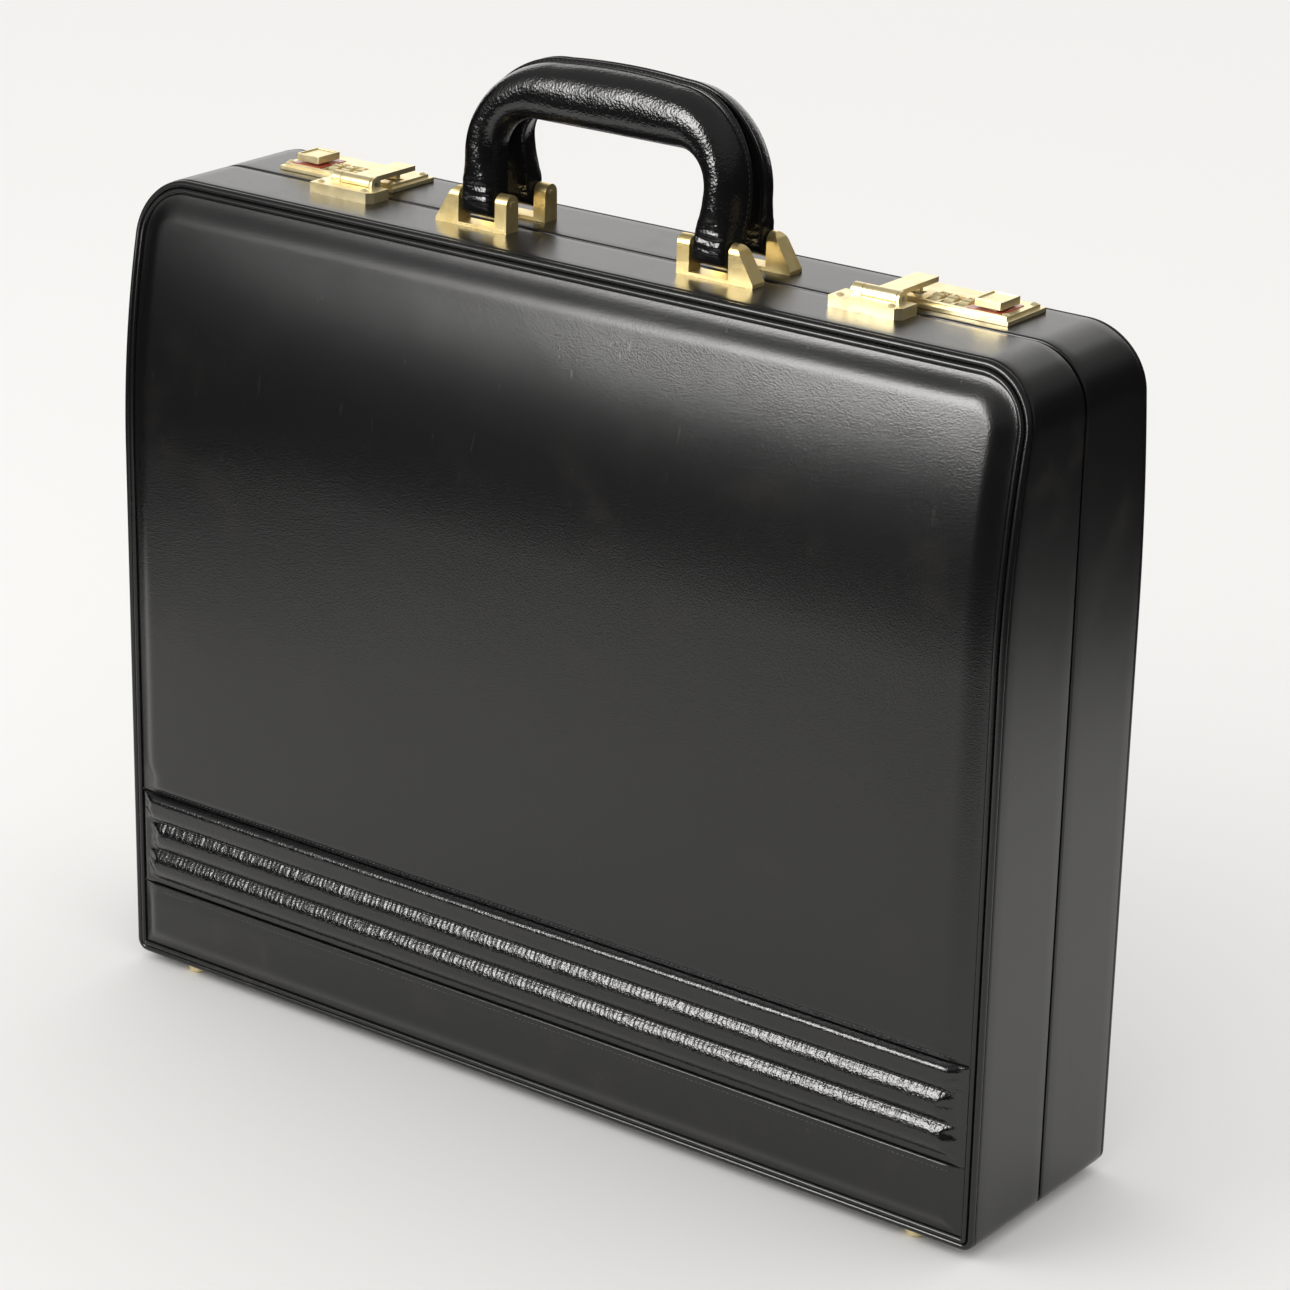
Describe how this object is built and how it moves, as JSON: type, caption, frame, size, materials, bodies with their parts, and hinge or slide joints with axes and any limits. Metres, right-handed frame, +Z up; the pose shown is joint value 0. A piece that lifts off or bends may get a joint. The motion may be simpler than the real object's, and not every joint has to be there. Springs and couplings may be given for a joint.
{
  "type": "attache case",
  "caption": "Hard-sided leather attache case standing on its hinge side, with padded faces, a ribbed band, twin handles and combination latches.",
  "frame": {"origin": "on the ground, at the middle of the box that holds the closed case on its four feet; the two halves meet at y = 0", "axes": "+X along the case's width, to the right as seen from the front half; +Y from the front half to the rear half; +Z up, towards the handles"},
  "size_m": [0.45, 0.108, 0.4352],
  "materials": {
    "black_leather": "glossy",
    "gold_brass": "polished",
    "steel": "satin",
    "edge_metal": "satin",
    "red_enamel": "glossy",
    "lining_cloth": "matte",
    "wood_board": "matte"
  },
  "bodies": {
    "rear_half": {"dial_spindles": "steel", "hinge_leaf_rear": "gold_brass", "hinge_pin": "steel", "left_lock_plate": "gold_brass", "lock_cases": "gold_brass", "lock_indicators": "red_enamel", "rear_board": "wood_board", "rear_face_panel": "black_leather", "rear_feet": "gold_brass", "rear_frame": "wood_board", "rear_handle_bracket_left": "gold_brass", "rear_handle_bracket_right": "gold_brass", "rear_handle_pins": "steel", "rear_lining": "lining_cloth", "rear_lower_panel": "black_leather", "rear_piping": "black_leather", "rear_rib_band": "black_leather", "rear_rim": "edge_metal", "rear_rivets": "gold_brass", "rear_side_leather": "black_leather", "right_lock_plate": "gold_brass", "stay_mounts_rear": "gold_brass"},
    "front_half": {"document_pocket": "lining_cloth", "front_board": "wood_board", "front_face_panel": "black_leather", "front_feet": "gold_brass", "front_frame": "wood_board", "front_handle_bracket_left": "gold_brass", "front_handle_bracket_right": "gold_brass", "front_handle_pins": "steel", "front_lining": "lining_cloth", "front_lower_panel": "black_leather", "front_piping": "black_leather", "front_rib_band": "black_leather", "front_rim": "edge_metal", "front_rivets": "gold_brass", "front_side_leather": "black_leather", "hasp_pins": "steel", "hinge_leaf_front": "gold_brass", "left_catch_plate": "gold_brass", "right_catch_plate": "gold_brass", "stay_mounts_front": "gold_brass"},
    "front_handle": {"front_handle_core": "steel", "front_handle_grip": "black_leather"},
    "rear_handle": {"rear_handle_core": "steel", "rear_handle_grip": "black_leather"},
    "left_hasp": {"left_hasp": "gold_brass"},
    "left_button": {"left_button": "gold_brass"},
    "left_dial_1": {"left_dial_1": "gold_brass"},
    "left_dial_2": {"left_dial_2": "gold_brass"},
    "left_dial_3": {"left_dial_3": "gold_brass"},
    "left_stay_rear": {"left_stay_link_rear": "gold_brass"},
    "left_stay_front": {"left_stay_link_front": "gold_brass"},
    "right_hasp": {"right_hasp": "gold_brass"},
    "right_button": {"right_button": "gold_brass"},
    "right_dial_1": {"right_dial_1": "gold_brass"},
    "right_dial_2": {"right_dial_2": "gold_brass"},
    "right_dial_3": {"right_dial_3": "gold_brass"},
    "right_stay_rear": {"right_stay_link_rear": "gold_brass"},
    "right_stay_front": {"right_stay_link_front": "gold_brass"}
  },
  "joints": [
    {"name": "lid", "type": "hinge", "parent": "rear_half", "child": "front_half", "pos_m": [0, 0, 0.003], "axis": [1, 0, 0], "range_deg": [0, 95]},
    {"name": "front_handle_swing", "type": "hinge", "parent": "front_half", "child": "front_handle", "pos_m": [0, -0.01, 0.3748], "axis": [1, 0, 0], "range_deg": [0, 92]},
    {"name": "rear_handle_swing", "type": "hinge", "parent": "rear_half", "child": "rear_handle", "pos_m": [0, 0.0155, 0.3748], "axis": [-1, 0, 0], "range_deg": [0, 92]},
    {"name": "left_hasp_swing", "type": "hinge", "parent": "front_half", "child": "left_hasp", "pos_m": [-0.132, -0.0034, 0.3686], "axis": [1, 0, 0], "range_deg": [0, 110]},
    {"name": "left_button_slide", "type": "slide", "parent": "rear_half", "child": "left_button", "axis": [-1, 0, 0], "range_m": [0, 0.003], "stiffness_N_per_m": 300, "springref_m": -0.002},
    {"name": "left_dial_1_turn", "type": "hinge", "parent": "rear_half", "child": "left_dial_1", "pos_m": [-0.1465, 0.0165, 0.361], "axis": [1, 0, 0], "continuous": true},
    {"name": "left_dial_2_turn", "type": "hinge", "parent": "rear_half", "child": "left_dial_2", "pos_m": [-0.153, 0.0165, 0.361], "axis": [1, 0, 0], "continuous": true},
    {"name": "left_dial_3_turn", "type": "hinge", "parent": "rear_half", "child": "left_dial_3", "pos_m": [-0.1595, 0.0165, 0.361], "axis": [1, 0, 0], "continuous": true},
    {"name": "left_stay_rear_swing", "type": "hinge", "parent": "rear_half", "child": "left_stay_rear", "pos_m": [-0.2168, 0.006, 0.05767], "axis": [1, 0, 0], "range_deg": [0, 95]},
    {"name": "left_stay_front_swing", "type": "hinge", "parent": "front_half", "child": "left_stay_front", "pos_m": [-0.2152, -0.006, 0.05767], "axis": [1, 0, 0], "range_deg": [-95, 0]},
    {"name": "right_hasp_swing", "type": "hinge", "parent": "front_half", "child": "right_hasp", "pos_m": [0.132, -0.0034, 0.3686], "axis": [1, 0, 0], "range_deg": [0, 110]},
    {"name": "right_button_slide", "type": "slide", "parent": "rear_half", "child": "right_button", "axis": [1, 0, 0], "range_m": [0, 0.003], "stiffness_N_per_m": 300, "springref_m": -0.002},
    {"name": "right_dial_1_turn", "type": "hinge", "parent": "rear_half", "child": "right_dial_1", "pos_m": [0.1465, 0.0165, 0.361], "axis": [1, 0, 0], "continuous": true},
    {"name": "right_dial_2_turn", "type": "hinge", "parent": "rear_half", "child": "right_dial_2", "pos_m": [0.153, 0.0165, 0.361], "axis": [1, 0, 0], "continuous": true},
    {"name": "right_dial_3_turn", "type": "hinge", "parent": "rear_half", "child": "right_dial_3", "pos_m": [0.1595, 0.0165, 0.361], "axis": [1, 0, 0], "continuous": true},
    {"name": "right_stay_rear_swing", "type": "hinge", "parent": "rear_half", "child": "right_stay_rear", "pos_m": [0.2168, 0.006, 0.05767], "axis": [1, 0, 0], "range_deg": [0, 95]},
    {"name": "right_stay_front_swing", "type": "hinge", "parent": "front_half", "child": "right_stay_front", "pos_m": [0.2152, -0.006, 0.05767], "axis": [1, 0, 0], "range_deg": [-95, 0]}
  ],
  "couplings": [
    {"joint": "left_stay_rear_swing", "follows": "lid", "ratio": 1},
    {"joint": "left_stay_front_swing", "follows": "lid", "ratio": -1},
    {"joint": "right_stay_rear_swing", "follows": "lid", "ratio": 1},
    {"joint": "right_stay_front_swing", "follows": "lid", "ratio": -1}
  ]
}
